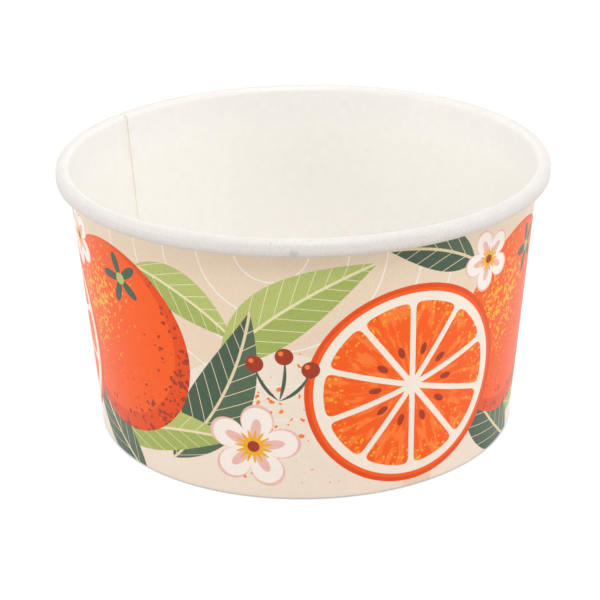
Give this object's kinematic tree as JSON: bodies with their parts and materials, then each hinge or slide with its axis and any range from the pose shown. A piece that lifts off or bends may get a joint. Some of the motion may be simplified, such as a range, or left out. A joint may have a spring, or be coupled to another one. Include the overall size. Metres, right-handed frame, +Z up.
{
  "type": "paper dessert cup",
  "caption": "Low tapered paper cup with a rolled rim, a lapped side seam, a hemmed foot and a recessed base disc, for ice cream and desserts.",
  "frame": {"origin": "centre of the foot, on the surface that the cup stands on", "axes": "+Z up along the cup's axis; -Y towards the front of the picture's view; the side seam is at the back left, 143 degrees counter-clockwise from +X"},
  "size_m": [0.096, 0.096, 0.0537],
  "materials": {
    "printed_board": "satin print outside, white coating inside",
    "base_board": "white, coated inside"
  },
  "bodies": {
    "root": {"sidewall": "printed_board", "base_disc": "base_board"}
  },
  "joints": []
}
